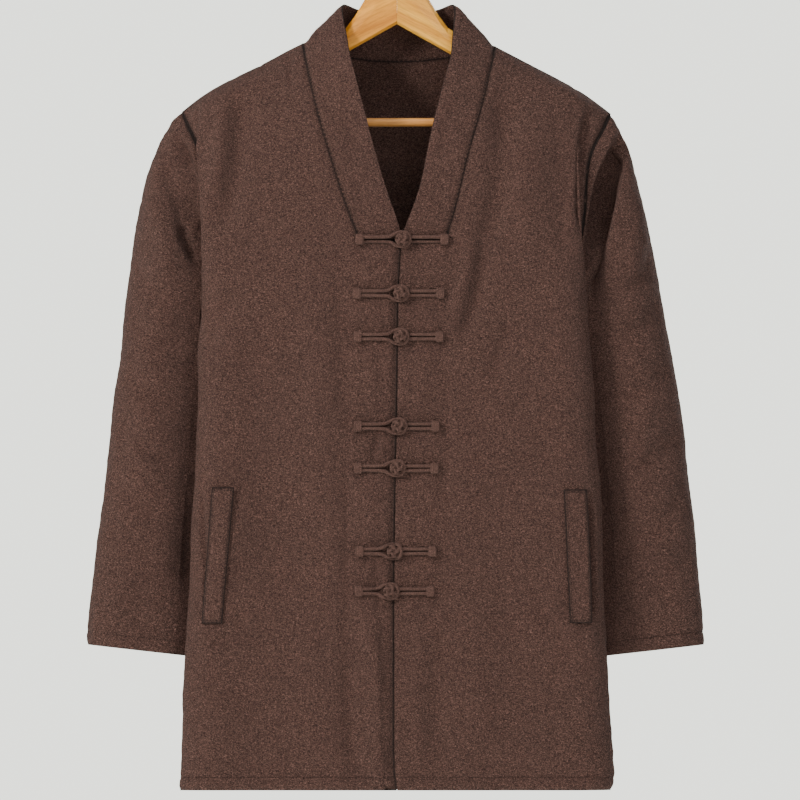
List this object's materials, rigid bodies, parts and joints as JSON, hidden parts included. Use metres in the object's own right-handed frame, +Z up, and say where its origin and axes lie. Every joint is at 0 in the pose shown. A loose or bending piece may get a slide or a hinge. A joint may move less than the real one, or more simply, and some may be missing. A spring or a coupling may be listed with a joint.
{
  "type": "padded coat on a wooden hanger",
  "caption": "Mid-length padded cotton coat with a V neck, collar band, knotted frog closures and slanted welt pockets, hung on a wooden hanger with a trouser bar.",
  "frame": {"origin": "inside top of the hanger's hook, where the rail or wall hook holds it", "axes": "+Z up, the coat's front faces -Y, +X to the right when the front is looked at, which is the wearer's left"},
  "size_m": [0.6895, 0.1395, 1.0028],
  "materials": {
    "cloth": "matt crinkled cotton, dark brown",
    "cord": "rolled bias cord of the same cloth",
    "wood": "pale clear-lacquered wood",
    "steel": "polished steel wire"
  },
  "bodies": {
    "root": {"front_right": "cloth", "front_left": "cloth", "back": "cloth", "sleeve_right": "cloth", "sleeve_left": "cloth", "collar_band": "cloth", "pocket_welt_right": "cloth", "pocket_welt_left": "cloth", "frog_loop_1": "cord", "frog_knot_1": "cord", "frog_loop_2": "cord", "frog_knot_2": "cord", "frog_loop_3": "cord", "frog_knot_3": "cord", "frog_loop_4": "cord", "frog_knot_4": "cord", "frog_loop_5": "cord", "frog_knot_5": "cord", "frog_loop_6": "cord", "frog_knot_6": "cord", "frog_loop_7": "cord", "frog_knot_7": "cord", "hanger_arm_right": "wood", "hanger_arm_left": "wood", "hanger_bar": "wood", "hanger_hook": "steel"}
  },
  "joints": []
}
